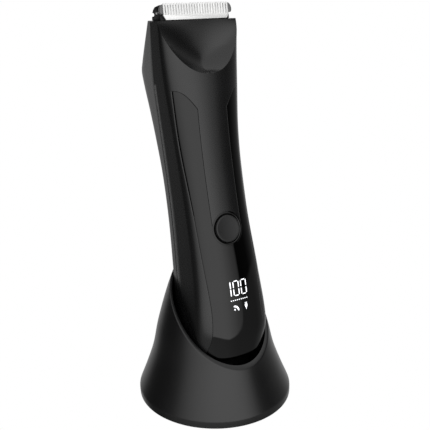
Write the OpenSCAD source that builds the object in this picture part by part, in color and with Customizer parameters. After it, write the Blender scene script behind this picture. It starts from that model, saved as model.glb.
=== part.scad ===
// Body groomer standing in its charging dock.
// Millimetres. Z is up, X is across, -Y is the side with the display.
// The origin is the centre of the underside of the dock.
// The groomer is drawn in its own frame: z runs from its foot to its head,
// and the whole frame leans back about X when it stands in the dock.

/* [Stance] */
// Backward lean of the groomer in the dock, degrees
lean = 11; // [9:0.5:13]
// Place of the groomer's foot along Y
foot_y = -6.8; // [-7.5:0.1:-6]
// Height of the groomer's foot
foot_z = 22.3; // [22:0.1:24]

/* [Groomer] */
// Length from the foot to the rim under the blades
body_len = 147.5; // [146:0.5:150]
// Half width at the belly
belly_w = 17.9; // [17.6:0.05:18]
// Half width at the waist
waist_w = 15.2; // [15:0.1:16]
// Half width at the rim
rim_w = 19.2; // [18.6:0.1:19.4]
// Depth of the hump on the back
hump = 23.6; // [22.6:0.2:23.8]
// Wall of the front cover
wall = 2; // [1.8:0.1:2.2]
// Wall of the rear cover
rear_wall = 1.5; // [1.4:0.1:1.6]
// Rounding round the foot
foot_round = 3; // [2.5:0.25:3.5]

/* [Panel] */
// Depth of the recess that the glossy panel lies in
recess = 0.9; // [0.7:0.05:1]
// Thickness of the glossy panel
panel_t = 0.82; // [0.6:0.02:0.85]
// Half width of the spine between the two legs of the panel
spine_w = 7.1; // [6.8:0.1:7.3]

/* [Button] */
// Height of the power button above the foot
button_s = 58.4; // [57:0.1:60]
// Radius of the button cap
button_r = 5.9; // [5.8:0.05:5.95]
// Travel of the button
button_travel = 0.6; // [0.4:0.1:0.7]
// Outer radius of the ring round the button
ring_r = 7.45; // [7.4:0.05:7.6]

/* [Blades] */
// Number of teeth on the comb blade
teeth = 25; // [21:1:29]
// Half width of the comb blade
comb_w = 15.9; // [15.5:0.1:16]
// Top of the comb teeth above the foot
comb_top = 154.2; // [153.6:0.1:154.6]
// Stroke of the cutter to each side
stroke = 1; // [0.8:0.1:1]

/* [Dock] */
// Radius of the dock at its widest
dock_r = 35.2; // [34.8:0.1:35.4]
// Wall of the dock
dock_wall = 1.4; // [1.2:0.05:1.4]
// Height of the lip plane at Y = 0
lip_z = 45.2; // [45:0.1:45.6]
// Rise of the lip plane per unit of Y
lip_slope = 0.86; // [0.84:0.01:0.88]
// Radius of the ballast disc
ballast_r = 18; // [14:0.5:18]

/* [Hidden] */
$fn = 48;

// Section of the groomer at each station: [height above the foot, value].
half_width = [[0, 15.2], [6, 16.85], [14, belly_w], [38, 16.3], [66, waist_w], [96, 15.9],
  [126, 18.1], [body_len, rim_w]];
front_depth = [[0, 16.6], [12, 18.1], [38, 17.5], [66, 14.5], [96, 12.8], [126, 13.3],
  [body_len, 13.6]];
arc_depth = [[0, 12], [6, 11.4], [14, 9.3], [38, 9], [66, 8.5], [96, 8.7], [126, 8.7],
  [body_len, 6.2]];
crease_y = [[0, 3.9], [12, 4.3], [38, 5.4], [66, 6.3], [96, 6.3], [118, 4.6], [130, 2.6],
  [body_len, -1.8]];
hump_s = 128;
back_depth = [[0, 9.6], [12, 10.5], [38, 12.2], [66, 13.3], [84, 14.3], [98, 16.7], [112, 19.3],
  [hump_s, hump]];
rim_back = 3.4;
rim_tilt = 0.16;      // rise of the rim per unit of depth, towards the back
front_power = 2.25;   // superellipse power of the front
back_power = 9;       // superellipse power of the back
back_taper = 0.17;    // how far the back's sides lean in, per unit of depth
seam = 0.08;          // parting gap between the covers

// The scoop under the blades is cut by a plane from its apex to the rim, then dished.
scoop_apex = 124.9;
scoop_apex_y = -13.2;
scoop_rim_y = -7.4;
scoop_dish = 3.9;
scoop_power = 2.2;
scoop_power_low = 1;
scoop_wall = 0.2;

// Outline of the glossy panel: [height above the foot, half width].
panel_edge = [[0, 14.5], [5, 15.1], [9, 14.35], [14, 13.3], [24, 12.7], [44, 13.3], [66, 13.6],
  [96, 15.2], [120, 16.4]];
leg_top_in = 110;
leg_top_rise = 8.4;
step_a = 0.4;         // half width of a recess wall, as an angle round the section
step_s = 0.08;        // half width of a recess wall along the body

// The dock: [height, radius]; each ring's centre moves back by dock_shift per unit of height.
dock_profile = [[0, 35.15], [3.2, dock_r], [4.3, 34.9], [12, 31.7], [22, 28.1], [34, 25.3],
  [50, 20.4], [64, 15]];
dock_shift = 0.06;
dock_foot = 0.15;
dock_sides = 60;
cup_z = 15;
cup_t = 2;
ring_hole = 6.25;
contact_x = 5;
contact_y = -2;

// Working parts inside the groomer.
board_y = -9.2;
board_t = 1.2;
battery_r = 7.1;
battery_len = 50;
battery_s = 10;
battery_y = 0.2;
motor_r = 7.4;
motor_s = 84;
motor_len = 26;
motor_y = 0.4;
mount_s = 112;
mount_t = 2;
head_plate_s = 144.4;
cam_offset = 1;
cam_pin_r = 1;
comb_y = -7.6;
comb_t = 0.6;
cutter_y = -6.95;
cutter_t = 0.5;
cutter_w = 13.4;
blade_foot = body_len - 0.1;
socket_z = 7.6;
socket_y = 33.1;

function lerp(a, b, f) = a + (b - a) * f;
function seg_of(k, t, i = 0) = i >= len(k) - 2 || t < k[i + 1][0] ? i : seg_of(k, t, i + 1);
function slope_at(k, i) = let (a = max(i - 1, 0), b = min(i + 1, len(k) - 1))
  (k[b][1] - k[a][1]) / (k[b][0] - k[a][0]);
// A smooth curve through the stations of k, read at t.
function smooth(k, t) = let (i = seg_of(k, t), h = k[i + 1][0] - k[i][0], u = (t - k[i][0]) / h)
  (2 * u^3 - 3 * u^2 + 1) * k[i][1] + (u^3 - 2 * u^2 + u) * h * slope_at(k, i)
  + (3 * u^2 - 2 * u^3) * k[i + 1][1] + (u^3 - u^2) * h * slope_at(k, i + 1);
function back_at(s) = s < hump_s ? smooth(back_depth, s)
  : lerp(hump, rim_back, (s - hump_s) / (body_len - hump_s));
// Leans the top of the head so that its rim rises towards the back.
function tilted(p) = [p[0], p[1], p[2]
  + rim_tilt * (p[1] + 4.5) * min(1, max(0, (p[2] - 120) / (body_len - 120)))];
function foot_inset(s) = s >= foot_round ? 0
  : foot_round - sqrt(foot_round^2 - (foot_round - s)^2);

// A point of the front at angle a round the section, height s, inset by d.
function front_pt(a, s, d) = let (w = smooth(half_width, s) - d, c = smooth(arc_depth, s),
  f = smooth(front_depth, s))
  [sign(a) * w * pow(abs(sin(a)), 2 / front_power),
   c - f - (c - d) * pow(cos(a), 2 / front_power), s];
// A point of the flat side, g running from the front arc (0) to the crease (1).
function side_pt(k, g, s, d) = [k * (smooth(half_width, s) - d),
  lerp(smooth(arc_depth, s) - smooth(front_depth, s), smooth(crease_y, s), g), s];
function back_pt(a, s, d) = let (w = smooth(half_width, s) - d, c = smooth(crease_y, s) + seam,
  y = (back_at(s) - c - d) * pow(max(cos(a), 0), 2 / back_power))
  [sign(a) * (w - back_taper * y) * pow(abs(sin(a)), 2 / back_power), c + y, s];
function edge_angle(x, s) = asin(pow(x / smooth(half_width, s), front_power / 2));

// Columns of the front skin: [side, band, fraction]. Bands: 0 spine, 1 leg, 2 outer arc, 3 flat.
half_columns = [[0, 0.5], [0, 1], [1, 0], [1, 0.25], [1, 0.5], [1, 0.75], [1, 1],
  [2, 0], [2, 0.35], [2, 0.7], [2, 1], [3, 0.5], [3, 1]];
columns = [for (i = [len(half_columns) - 1:-1:0]) [-1, each half_columns[i]], [1, 0, 0],
  for (c = half_columns) [1, each c]];
function column_angle(c, s) = let (in = edge_angle(spine_w, s),
  out = edge_angle(smooth(panel_edge, s), s))
  c[0] * (c[1] == 0 ? lerp(0, in - step_a, c[2])
    : c[1] == 1 ? lerp(in + step_a, out - step_a, c[2]) : lerp(out + step_a, 90, c[2]));
// Rows: [band, fraction]. Bands: 0 foot, 1 below the crotch, 2 legs, 3 head, 4 scoop.
rows = [[0, 0], [0, 0.12], [0, 0.4], [0, 1], for (i = [1:7]) [1, i / 7],
  for (i = [0:8]) [2, i / 8], for (i = [0:4]) [3, i / 4], for (i = [1:8]) [4, pow(i / 8, 1.5)]];
function crotch_at(c) = c[1] == 0 ? button_s - spine_w * sqrt(1 - c[2]^2) : button_s;
function leg_top(c) = c[1] == 0 ? leg_top_in
  : leg_top_in + leg_top_rise * (c[1] == 1 ? sin(90 * c[2]) : 1);
// Height of the scoop's edge on a column: where the front meets the cutting plane.
function scoop_plane_y(s) = lerp(scoop_apex_y, scoop_rim_y, (s - scoop_apex) / (body_len - scoop_apex));
function scoop_edge(c, lo, hi, n = 14) = let (m = (lo + hi) / 2)
  n == 0 ? m : front_pt(column_angle(c, m), m, 0)[1] > scoop_plane_y(m)
    ? scoop_edge(c, m, hi, n - 1) : scoop_edge(c, lo, m, n - 1);
function scoop_start(c) = c[1] == 3 ? body_len - 0.4 : scoop_edge(c, scoop_apex - 1, body_len - 0.4);
function row_height(c, r) = r[0] == 0 ? r[1] * foot_round
  : r[0] == 1 ? lerp(foot_round, crotch_at(c) - step_s, r[1])
  : r[0] == 2 ? lerp(crotch_at(c) + step_s, leg_top(c) - step_s, r[1])
  : lerp(leg_top(c) + step_s, scoop_start(c), r[1]);
function skin_pt(c, s, d) = let (e = d + foot_inset(s))
  c[1] == 3 ? side_pt(c[0], c[2], s, e) : front_pt(column_angle(c, s), s, e);
// Half width of the scoop at height s, where its cutting plane meets the front.
function scoop_w(s) = let (c = smooth(arc_depth, s), f = smooth(front_depth, s),
  q = min(1, max(0, (c - f - scoop_plane_y(s)) / c)))
  smooth(half_width, s) * pow(max(1 - pow(q, front_power), 0.0001), 1 / front_power);
function scoop_mid(s) = let (t = (s - scoop_apex) / (body_len - scoop_apex))
  scoop_plane_y(s) + 3 * scoop_dish * sqrt(max(t, 0)) * (1 - t);
function scoop_pt(c, t, d) = let (b = skin_pt(c, scoop_start(c), 0), s = lerp(b[2], body_len, t),
  x = c[1] == 3 ? b[0] : lerp(b[0], rim_w * sin(column_angle(c, body_len)), t),
  f = min(1, max(0, (s - scoop_apex) / (body_len - scoop_apex))), u = min(1, abs(x) / scoop_w(s)),
  cross = pow(u, lerp(scoop_power_low, scoop_power, min(1, f / 0.5))),
  y = lerp(scoop_mid(s), scoop_plane_y(s), cross)
    + scoop_wall * sin(180 * sqrt(f)) * (1 - pow(u, 10)))
  [x * (1 - d / rim_w), c[1] == 3 ? b[1] : y + d, s];
function in_recess(c, r) = c[1] == 0 && r[0] <= 1 || c[1] == 1 && r[0] <= 2;
function cover_pt(c, r, d) = tilted(r[0] == 4 ? scoop_pt(c, r[1], d)
  : skin_pt(c, row_height(c, r), d));

// A closed sheet between two grids of points [column][row]; on says which cells are solid.
module sheet(outer, inner, on, ring = false) {
  nc = len(outer);
  nr = len(outer[0]);
  last = ring ? nc - 1 : nc - 2;
  half = nc * nr;
  function id(i, j) = (i % nc) * nr + j;
  function there(i, j) = j >= 0 && j < nr - 1 && (ring || i >= 0 && i <= last) && on[(i + nc) % nc][j];
  function quad(a, b, c, d) = [[a, b, c], [a, c, d]];
  polyhedron(points = [for (c = outer) each c, for (c = inner) each c],
    faces = [for (i = [0:last], j = [0:nr - 2]) if (there(i, j))
      let (a = id(i, j), b = id(i + 1, j), c = id(i + 1, j + 1), d = id(i, j + 1), h = half)
      each [each quad(a, d, c, b), each quad(a + h, b + h, c + h, d + h),
        if (!there(i - 1, j)) each quad(a + h, d + h, d, a),
        if (!there(i + 1, j)) each quad(b, c, c + h, b + h),
        if (!there(i, j - 1)) each quad(a, b, b + h, a + h),
        if (!there(i, j + 1)) each quad(c, d, d + h, c + h)]]);
}

// Frames.
module groomer() translate([0, foot_y, foot_z]) rotate([-lean, 0, 0]) children();
// Frame of the button: +Z points out of the front face.
button_y = -smooth(front_depth, button_s);
button_tilt = atan((smooth(front_depth, button_s - 6) - smooth(front_depth, button_s + 6)) / 12);
module at_button() translate([0, button_y, button_s]) rotate([90 - button_tilt, 0, 0]) children();
module tube(r, hole, h) difference() {
  cylinder(r = r, h = h);
  translate([0, 0, -1]) cylinder(r = hole, h = h + 2);
}
module block(lo, hi) translate(lo) cube(hi - lo);
module both_sides() { children(); mirror([1, 0, 0]) children(); }
// A slotted pan-head screw along -Z, its head's underside at the origin.
module screw(r, len, head_r, head_t) difference() {
  union() {
    translate([0, 0, -len]) cylinder(r = r, h = len + 0.1);
    cylinder(r = head_r, h = head_t);
  }
  translate([-head_r, -head_r / 7, head_t * 0.55]) cube([2 * head_r, head_r / 3.5, head_t]);
}

// Covers.
module front_cover() color("#232325") groomer() difference() {
  sheet([for (c = columns) [for (r = rows) cover_pt(c, r, in_recess(c, r) ? recess : 0)]],
    [for (c = columns) [for (r = rows) cover_pt(c, r, wall)]],
    [for (c = columns) [for (r = rows) true]]);
  at_button() translate([0, 0, -6]) cylinder(r = ring_r + 0.05, h = 12);
  block([-6.5, -20, 20.5], [6.5, -14, 38.5]);
}
panel_columns = [for (c = columns) if (c[1] <= 1) c];
panel_rows = [for (r = rows) if (r[0] <= 2) r];
module front_panel() color("#0b0b0d") groomer() difference() {
  sheet([for (c = panel_columns) [for (r = panel_rows) cover_pt(c, r, 0.03)]],
    [for (c = panel_columns) [for (r = panel_rows) cover_pt(c, r, 0.03 + panel_t)]],
    [for (i = [0:len(panel_columns) - 1]) let (c = panel_columns[i], n = panel_columns[min(i + 1,
      len(panel_columns) - 1)]) [for (j = [0:len(panel_rows) - 1]) let (r = panel_rows[min(j + 1,
      len(panel_rows) - 1)]) r[0] <= 1 || (c[1] == 1 && n[1] == 1)]]);
  at_button() translate([0, 0, -6]) cylinder(r = ring_r + 0.05, h = 12);
}
rear_rows = [0, 0.12, 0.4, 1];
rear_heights = [for (f = rear_rows) f * foot_round, for (i = [1:16]) lerp(foot_round, hump_s, i / 16),
  hump_s + 1.5, for (i = [1:4]) lerp(hump_s + 1.5, body_len, i / 4)];
rear_angles = [-90, -80, -68, -54, -42, -30, -18, -8, 0, 8, 18, 30, 42, 54, 68, 80, 90];
module rear_cover() color("#262628") groomer()
  sheet([for (k = [len(rear_angles) - 1:-1:0]) [for (s = rear_heights)
      tilted(back_pt(rear_angles[k], s, foot_inset(s)))]],
    [for (k = [len(rear_angles) - 1:-1:0]) [for (s = rear_heights)
      tilted(back_pt(rear_angles[k], s, foot_inset(s) + rear_wall))]],
    [for (k = rear_angles) [for (s = rear_heights) true]]);
// Outline inside the covers at height s, inset by d, as a polygon.
function inner_outline(s, d) = [for (a = [-90:10:90]) [front_pt(a, s, d)[0], front_pt(a, s, d)[1]],
  for (a = [90:-10:-90]) [back_pt(a, s, d)[0], back_pt(a, s, d)[1]]];
module bottom_cap() color("#1c1c1e") groomer() difference() {
  translate([0, 0, 0.4]) linear_extrude(2) polygon(inner_outline(1, foot_round + wall + 0.6));
  for (k = [-1, 1]) translate([k * contact_x, contact_y, -1]) cylinder(r = 1.65, h = 5);
}
module head_plate() color("#18181a") groomer() translate([0, 0, head_plate_s]) linear_extrude(2)
  difference() {
    polygon([for (p = inner_outline(head_plate_s + 2, wall + 0.4)) [p[0], max(p[1], -4.5)]]);
    translate([-13, -3.9]) square([26, 5.5]);
    translate([-5.8, -3.9]) square([11.6, 9]);
  }

// Button, display and electronics.
// Height over the button's frame of the front face at (x, v), v running up the body.
function face_over(x, v) = let (s = button_s + v, a = edge_angle(abs(x), s))
  -(front_pt(a, s, 0.03)[1] - button_y) * cos(button_tilt) + v * sin(button_tilt);
function ring_pt(u, r, drop) = [r * cos(u), r * sin(u), face_over(r * cos(u), r * sin(u)) - drop];
ring_sides = 40;
module button_ring() color("#3b3b3e") groomer() at_button() sheet(
  [for (k = [0:ring_sides - 1]) let (u = k * 360 / ring_sides) [ring_pt(u, ring_hole, 0.25),
    ring_pt(u, ring_hole + 0.3, 0), ring_pt(u, ring_r, 0)]],
  [for (k = [0:ring_sides - 1]) let (u = k * 360 / ring_sides) [ring_pt(u, ring_hole, 1.8),
    ring_pt(u, ring_hole + 0.3, 1.8), ring_pt(u, ring_r, 1.8)]],
  [for (k = [1:ring_sides]) [true, true, true]], true);
module button_seal() color("#2a2a2c") groomer() at_button() translate([0, 0, -3.6]) tube(7, 1.9, 0.6);
module power_button() color("#313134") groomer() at_button() rotate_extrude()
  polygon([[0, -2.4], [0, -0.15], [4.2, 0.1], [button_r - 0.4, 0.25], [button_r, -0.1],
    [button_r, -1.45], [1.6, -1.45], [1.6, -2.4]]);
module switch_plunger() color("#8d3b2c") groomer() at_button() translate([0, 0, -4.6])
  cylinder(r = 1.4, h = 2.15);
module display_module() color("#202024") groomer()
  block([-6.2, -15.6, 20.8], [6.2, board_y - 0.05, 38.2]);
// One bar of a digit, centred, long way along Z.
module bar(len, w = 1) translate([-w / 2, -15.85, -len / 2]) cube([w, 0.22, len]);
// Bars of a digit: [x, z, length, turned].
module digit(bars) for (b = bars) translate([b[0], 0, b[1]]) rotate([0, b[3] * 90, 0])
  bar(b[2], 0.6);
zero_bars = [for (x = [-1.25, 1.25], z = [-1.6, 1.6]) [x, z, 2.7, 0],
  for (z = [-3.1, 3.1]) [0, z, 1.7, 1]];
one_bars = [[0, -1.6, 2.9, 0], [0, 1.6, 2.9, 0]];
module display_segments() color("white") groomer() {
  translate([-3.5, 0, 32.5]) digit(one_bars);
  translate([-0.7, 0, 32.5]) digit(zero_bars);
  translate([3.3, 0, 32.5]) digit(zero_bars);
  translate([0.4, 0, 27.3]) rotate([0, 90, 0]) bar(8.4, 0.5);
  translate([-1.6, 0, 24]) bar(2, 1.1);
  translate([3.4, 0, 24]) bar(2, 1.1);
}
module main_board() color("#1d5c3a") groomer() difference() {
  block([-11, board_y, 10], [11, board_y + board_t, 72]);
  for (s = [13, 68]) translate([0, 0, s]) rotate([90, 0, 0]) cylinder(r = 0.9, h = 40, center = true);
}
module board_screws() color("silver") groomer() for (s = [13, 68])
  translate([0, board_y - 0.02, s]) rotate([90, 0, 0]) screw(0.85, 2, 1.6, 0.9);
module tact_switch() color("#4a4a50") groomer() difference() {
  block([-3, board_y - 1.7, button_s - 3], [3, board_y - 0.02, button_s + 3]);
  at_button() translate([0, 0, -5.6]) cylinder(r = 1.75, h = 4);
}
module inner_chassis() color("#3a3a3e") groomer() difference() {
  union() {
    block([-11, -7.9, 8], [11, -7.1, 118]);
    both_sides() block([9.2, -7.5, 8], [10.8, 4, 9.4]);
    block([-10.8, -7.5, 8], [10.8, 2, 9.2]);
    block([-10.8, -7.5, 61.6], [10.8, 6, 63]);
    block([-10.8, -7.5, 80], [10.8, 6, 82]);
  }
  for (s = [13, 68]) translate([0, 0, s]) rotate([90, 0, 0]) cylinder(r = 0.9, h = 30, center = true);
}
module battery() color("#2f6fb0") groomer() translate([0, battery_y, battery_s]) {
  cylinder(r = battery_r, h = battery_len - 1);
  cylinder(r = 2.6, h = battery_len);
}
module battery_tabs() color("silver") groomer() {
  block([-2.5, -6.9, battery_s - 0.35], [2.5, 4, battery_s - 0.05]);
  block([-2.5, -6.9, battery_s + battery_len + 0.05], [2.5, 4, battery_s + battery_len + 0.35]);
}
module charging_contacts() color("gold") groomer() for (k = [-1, 1])
  translate([k * contact_x, contact_y, 0.3]) {
    cylinder(r = 1.6, h = 2.4);
    translate([0, 0, 2.4]) cylinder(r = 2.2, h = 0.5);
  }

// Drive.
module at_motor(s) translate([0, motor_y, s]) children();
module motor_can() color("#b9b9be") groomer() at_motor(motor_s) difference() {
  union() {
    cylinder(r = motor_r, h = motor_len);
    cylinder(r = 2.9, h = motor_len + 1.8);
  }
  translate([0, 0, 2]) cylinder(r = 1.06, h = motor_len + 10);
  for (k = [-1, 1]) translate([k * 5, 0, motor_len - 3]) cylinder(r = 0.8, h = 6);
}
module motor_mount() color("#3a3a3e") groomer() difference() {
  translate([0, 0, mount_s - 1.9]) linear_extrude(mount_t)
    polygon(inner_outline(mount_s, wall + 0.4));
  at_motor(mount_s - 5) cylinder(r = 3, h = 10);
  for (k = [-1, 1]) at_motor(mount_s - 5) translate([k * 5, 0, 0]) cylinder(r = 0.9, h = 10);
  block([-11.1, -8, mount_s - 3], [11.1, -7, mount_s + 3]);
}
module motor_screws() color("silver") groomer() for (k = [-1, 1]) at_motor(mount_s + 0.12)
  translate([k * 5, 0, 0]) screw(0.75, 4.6, 1.5, 0.9);
module shaft_seal() color("#8c2f25") groomer() at_motor(mount_s + 0.15) tube(3.3, 1.1, 2.2);
module motor_shaft() color("silver") groomer() at_motor(motor_s + 3) cylinder(r = 1, h = 37);
module eccentric_cam() color("#d8d4c6") groomer() at_motor(118) {
  difference() {
    cylinder(r = 4, h = 6.2);
    translate([0, 0, -1]) cylinder(r = 1.02, h = 7.05);
  }
  translate([0, cam_offset, 6]) cylinder(r = cam_pin_r, h = 8.5);
}

// Blade cartridge.
// Frame of a blade screw: +Z points to the front.
module at_blade_screw() translate([16.5, 0, 150.6]) rotate([90, 0, 0]) children();
module cheek() translate([13.9, 0, 0]) rotate([90, 0, 90]) linear_extrude(2.8)
  polygon([[-6.1, blade_foot], [-0.9, blade_foot], [1.4, 148.75], [0.6, 151.2], [-0.5, 152.6],
    [-2.2, 153.4], [-6.1, 153.6]]);
module blade_bracket() color("#101012") groomer() difference() {
  union() {
    both_sides() cheek();
    translate([0, 0, blade_foot]) linear_extrude(1.6)
      polygon([[-16.6, -6.1], [16.6, -6.1], [16.6, -0.7], [14.4, 1.5], [-14.4, 1.5], [-16.6, -0.7]]);
    block([-14, -4.4, blade_foot], [14, -3.3, 151.6]);
    both_sides() block([8.6, -3.6, 139], [11.6, 1, blade_foot + 0.2]);
    both_sides() block([11.4, -1, 142.2], [12.4, 1, 143.8]);
  }
  block([-6.5, -8, blade_foot - 1], [6.5, -0.9, 150.2]);
  both_sides() at_blade_screw() {
    cylinder(r = 0.55, h = 9);
    translate([0, 0, -1]) cylinder(r = 0.75, h = 4.6);
  }
}
pitch = 2 * comb_w / teeth;
module blade(w, foot, top, gum, y, t, chamfer) translate([0, y + t, 0]) rotate([90, 0, 0])
  linear_extrude(t) {
    polygon([[-w + chamfer, foot], [w - chamfer, foot], [w, foot + 1.6 * chamfer], [w, gum],
      [-w, gum], [-w, foot + 1.6 * chamfer]]);
    for (k = [0:floor(2 * w / pitch + 0.01) - 1])
      let (x = (k - (floor(2 * w / pitch + 0.01) - 1) / 2) * pitch)
      polygon([[x - pitch * 0.36, gum - 0.1], [x + pitch * 0.36, gum - 0.1],
        [x + pitch * 0.26, top - 0.25], [x + pitch * 0.12, top], [x - pitch * 0.12, top],
        [x - pitch * 0.26, top - 0.25]]);
  }
module comb_blade() color("#e6e6e4") groomer() {
  blade(comb_w, blade_foot, comb_top, 149.4, comb_y, comb_t, 1.2);
  both_sides() block([cutter_w + stroke + 0.2, comb_y + comb_t - 0.1, 149.8], [comb_w, -6.12, 151]);
}
module blade_guards() color("#9a9a9c") groomer() both_sides() difference() {
  translate([comb_w + 0.02, -6.12, 0]) rotate([90, 0, 0]) linear_extrude(1.55) intersection() {
    translate([0, 149.8]) square([1.4, 4.2]);
    translate([-1.6, 151.2]) circle(r = 3);
  }
  at_blade_screw() cylinder(r = 0.55, h = 7.2);
}
module blade_screws() color("silver") groomer() both_sides() at_blade_screw()
  translate([0, 0, 3.58]) mirror([0, 0, 1]) screw(0.5, 3.3, 0.68, 0.5);
module blade_spring() color("silver") groomer() translate([0, 0, 150.4]) linear_extrude(1)
  both_sides() polygon([[7.5, -4.45], [11, -4.45], [11, -4.8], [8.2, -4.8], [11.8, -5.85],
    [11.8, -6.12], [11.4, -6.12], [7.5, -5]]);
module cutter_blade() color("#cfcfd0") groomer()
  blade(cutter_w, blade_foot + 0.5, comb_top - 0.6, 149.6, cutter_y, cutter_t, 0.6);
module drive_yoke() color("#d8d4c6") groomer() difference() {
  union() {
    block([-5, cutter_y + cutter_t + 0.02, 148.2], [5, -1.4, 149.6]);
    block([-4.4, -3.6, 128], [4.4, -1.4, 149.6]);
    block([-4.4, -3.6, 128], [4.4, 1.5, 132.2]);
  }
  block([-3.4, motor_y - 2.5, 127], [3.4, 5, 133]);
}

// Dock.
function dock_pt(u, z, d) = let (r = smooth(dock_profile, z) - d)
  [r * sin(u), dock_shift * z - r * cos(u), z];
function lip_at(u, d, lo = 10, hi = 63.9, n = 16) = let (m = (lo + hi) / 2, p = dock_pt(u, m, d))
  n == 0 ? m : m < lip_z + lip_slope * p[1] ? lip_at(u, d, m, hi, n - 1) : lip_at(u, d, lo, m, n - 1);
dock_rim = [dock_foot, 2, 3.2, 3.7];
dock_rows = 9;
function dock_grid(d) = [for (k = [0:dock_sides - 1]) let (u = k * 360 / dock_sides, top = lip_at(u, d))
  [for (z = [each dock_rim, for (i = [0:dock_rows]) lerp(4.3, top, i / dock_rows)]) dock_pt(u, z, d)]];
module dock_shell() color("#2b2b2d") difference() {
  sheet(dock_grid(0), dock_grid(dock_wall),
    [for (k = [1:dock_sides]) [for (i = [0:len(dock_rim) + dock_rows]) true]], true);
  socket_slot(2.15, 5.45, 25, 40);
}
module socket_slot(r, w, from, to) {
  for (s = [-1, 1]) translate([s * (w - r), from, socket_z]) rotate([-90, 0, 0])
    cylinder(r = r, h = to - from);
  block([r - w, from, socket_z - r], [w - r, to, socket_z + r]);
}
post_radius = 24.8;
module at_posts() for (u = [60, 180, 300]) rotate([0, 0, u]) translate([0, post_radius, 0]) children();
module seat_cup() color("#1a1a1c") difference() {
  union() {
    translate([0, dock_shift * cup_z, cup_z]) cylinder(r = 27.9, h = cup_t);
    at_posts() translate([0, 0, 2.7]) cylinder(r = 2.8, h = cup_z - 2.6);
    groomer() block([-9.8, -5.8, -9.5], [9.8, 4.2, 0.08]);
    groomer() both_sides() block([18.5, -4, -9.5], [19.8, 2, 12]);
    back_rest();
  }
  at_posts() cylinder(r = 1, h = 11);
  groomer() for (k = [-1, 1]) translate([k * contact_x, contact_y, -20]) cylinder(r = 1.62, h = 30);
}
// The rest behind the groomer's back: the dock's inside, less the path of the groomer.
rest_top = 60;
module back_rest() difference() {
  intersection() {
    rotate([-atan(dock_shift), 0, 0]) rotate_extrude() polygon([[0, cup_z + 1],
      for (z = [cup_z + 1, 34, rest_top]) [smooth(dock_profile, z) - dock_wall - 1.2, z],
      [0, rest_top]]);
    translate([0, 0, lip_z - 3]) rotate([atan(lip_slope), 0, 0]) block([-50, -80, -100], [50, 80, 0]);
    groomer() block([-10, 9, -8], [10, 40, 60]);
  }
  groomer() translate([0, 0, -9]) linear_extrude(80) polygon([[-18.5, -22], [18.5, -22],
    for (a = [90:-10:-90]) [sign(a) * 18.5 * sqrt(abs(sin(a))), 4 + 9 * sqrt(max(cos(a), 0))]]);
}
module base_plate() color("#202022") difference() {
  translate([0, 0, 0.8]) cylinder(r = 32.8, h = 1.8);
  at_posts() {
    cylinder(r = 1.25, h = 5);
    translate([0, 0, -1]) cylinder(r = 2.3, h = 2.8);
  }
}
module base_pad() color("#3c3c3e") difference() {
  cylinder(r = 32.6, h = 0.78);
  at_posts() translate([0, 0, -1]) cylinder(r = 2.6, h = 3);
}
module dock_screws() color("silver") at_posts() translate([0, 0, 1.78]) mirror([0, 0, 1])
  screw(0.97, 7.5, 2.1, 0.85);
module ballast_weight() color("#77787c") translate([0, -3.5, 2.7]) tube(ballast_r, 4, 5);
module dock_board() color("#1d5c3a") difference() {
  block([-9, 15.6, 4.7], [9, 30.4, 5.9]);
  at_posts() cylinder(r = 3.2, h = 20);
}
module usb_socket() color("#c6c7ca") difference() {
  block([-4.47, socket_y - 5.6, socket_z - 1.63], [4.47, socket_y, socket_z + 1.63]);
  socket_slot(1.3, 4.15, socket_y - 4.9, socket_y + 1);
}
module pogo_barrels() color("gold") groomer() for (k = [-1, 1])
  translate([k * contact_x, contact_y, -9.4]) difference() {
    cylinder(r = 1.55, h = 8.2);
    translate([0, 0, 0.2]) cylinder(r = 1.05, h = 9);
  }
module pogo_pin(k) groomer() translate([k * contact_x, contact_y, 0]) {
  translate([0, 0, -5.4]) cylinder(r = 0.98, h = 1.4);
  translate([0, 0, -4.2]) cylinder(r = 0.75, h = 4);
  translate([0, 0, -0.6]) cylinder(r = 0.95, h = 0.84);
}
module pogo_pin_left() color("gold") pogo_pin(-1);
module pogo_pin_right() color("gold") pogo_pin(1);
// A compression spring drawn as closely spaced turns joined by a strut.
module pogo_spring(k) groomer() translate([k * contact_x, contact_y, -9.2]) {
  for (t = [0:5]) translate([0, 0, 0.15 + t * 0.68]) rotate_extrude() translate([0.78, 0])
    circle(r = 0.13, $fn = 16);
  translate([0.78, 0, 0.15]) cylinder(r = 0.1, h = 3.4, $fn = 16);
}
module pogo_spring_left() color("silver") pogo_spring(-1);
module pogo_spring_right() color("silver") pogo_spring(1);

front_cover();
front_panel();
rear_cover();
bottom_cap();
head_plate();
button_ring();
button_seal();
display_module();
display_segments();
main_board();
board_screws();
tact_switch();
switch_plunger();
inner_chassis();
battery();
battery_tabs();
motor_can();
motor_mount();
motor_screws();
shaft_seal();
charging_contacts();
power_button();
motor_shaft();
eccentric_cam();
blade_bracket();
comb_blade();
blade_guards();
blade_screws();
blade_spring();
cutter_blade();
drive_yoke();
dock_shell();
seat_cup();
base_plate();
base_pad();
ballast_weight();
dock_board();
usb_socket();
pogo_barrels();
dock_screws();
pogo_pin_left();
pogo_pin_right();
pogo_spring_left();
pogo_spring_right();
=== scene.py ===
"""The looks of a body groomer that stands in its charging dock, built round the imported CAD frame.

Lengths in the shape code are millimetres in the groomer's own frame (x across, y to the back,
s from the foot to the head) or in the dock's frame; put() and row() give metres in the row frame.
"""
import math

import bmesh
import bpy
from mathutils import Matrix, Vector


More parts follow.
